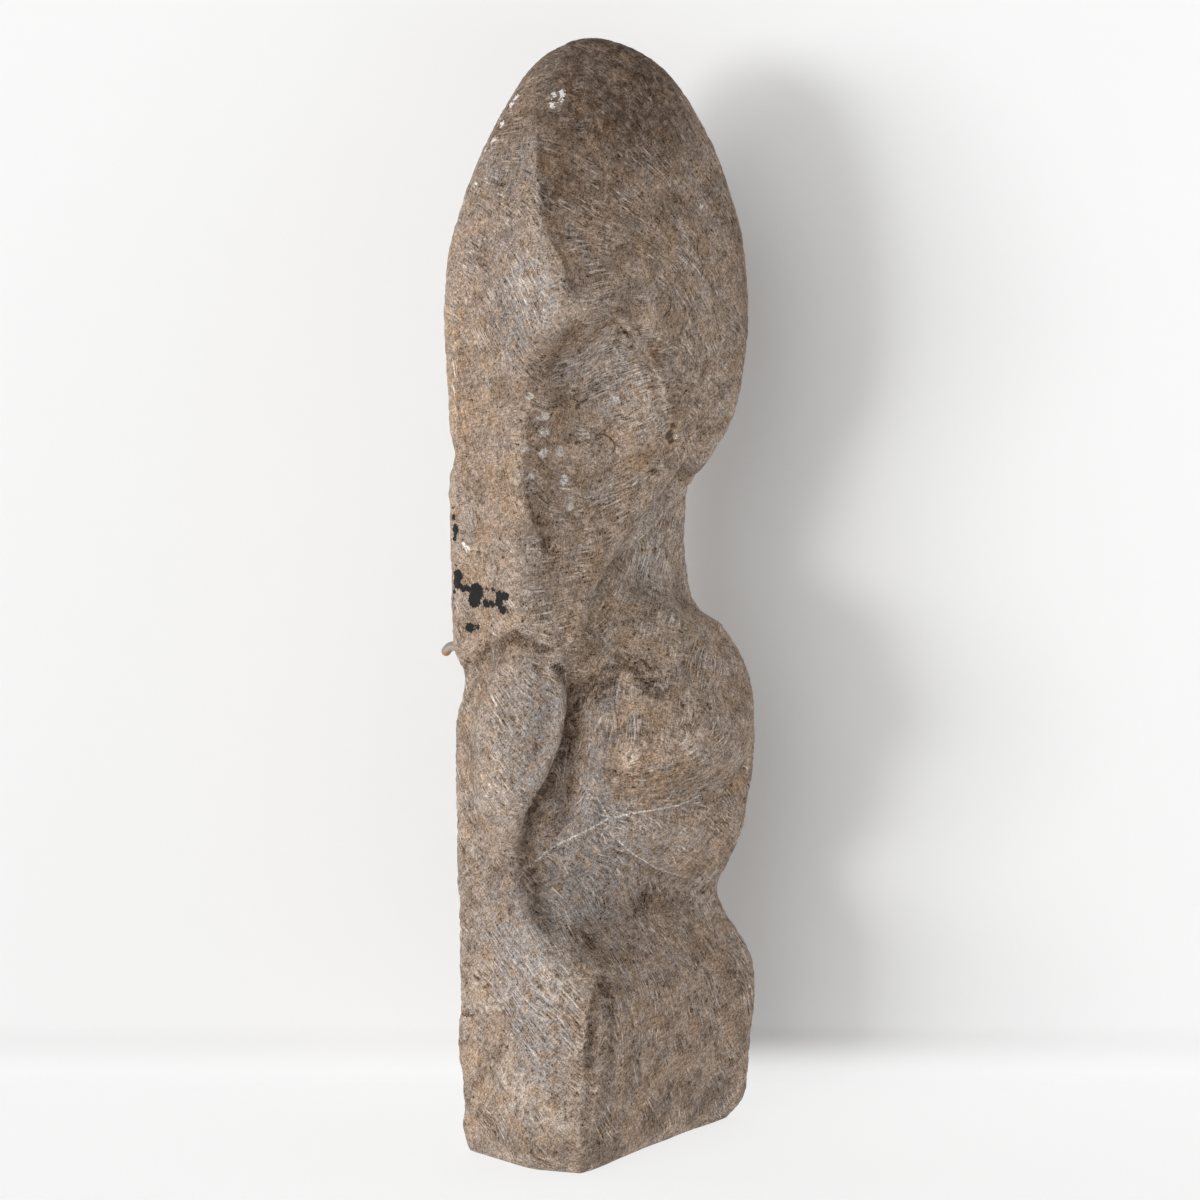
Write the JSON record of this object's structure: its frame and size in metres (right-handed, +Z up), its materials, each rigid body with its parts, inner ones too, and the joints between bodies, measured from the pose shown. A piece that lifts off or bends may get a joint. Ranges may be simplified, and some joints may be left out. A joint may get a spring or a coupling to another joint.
{
  "type": "granite relief",
  "caption": "Upright tooled granite relief: hooded head over a hollow, leaning arm facet, round belly and thigh on a plain block foot, with a short bent steel pin in its back.",
  "frame": {"origin": "middle of the block foot on its flat underside, on the ground", "axes": "+Z up along the stone, -Y out of the carved front, +X to the right of someone facing the carved front, -X out of the side with the thigh"},
  "size_m": [0.2186, 0.1844, 0.75],
  "materials": {
    "granite": "hand-tooled and matt, with dirt in the hollows",
    "steel": "dull, with a little rust"
  },
  "bodies": {
    "root": {"granite_relief": "granite", "steel_pin": "steel"}
  },
  "joints": []
}
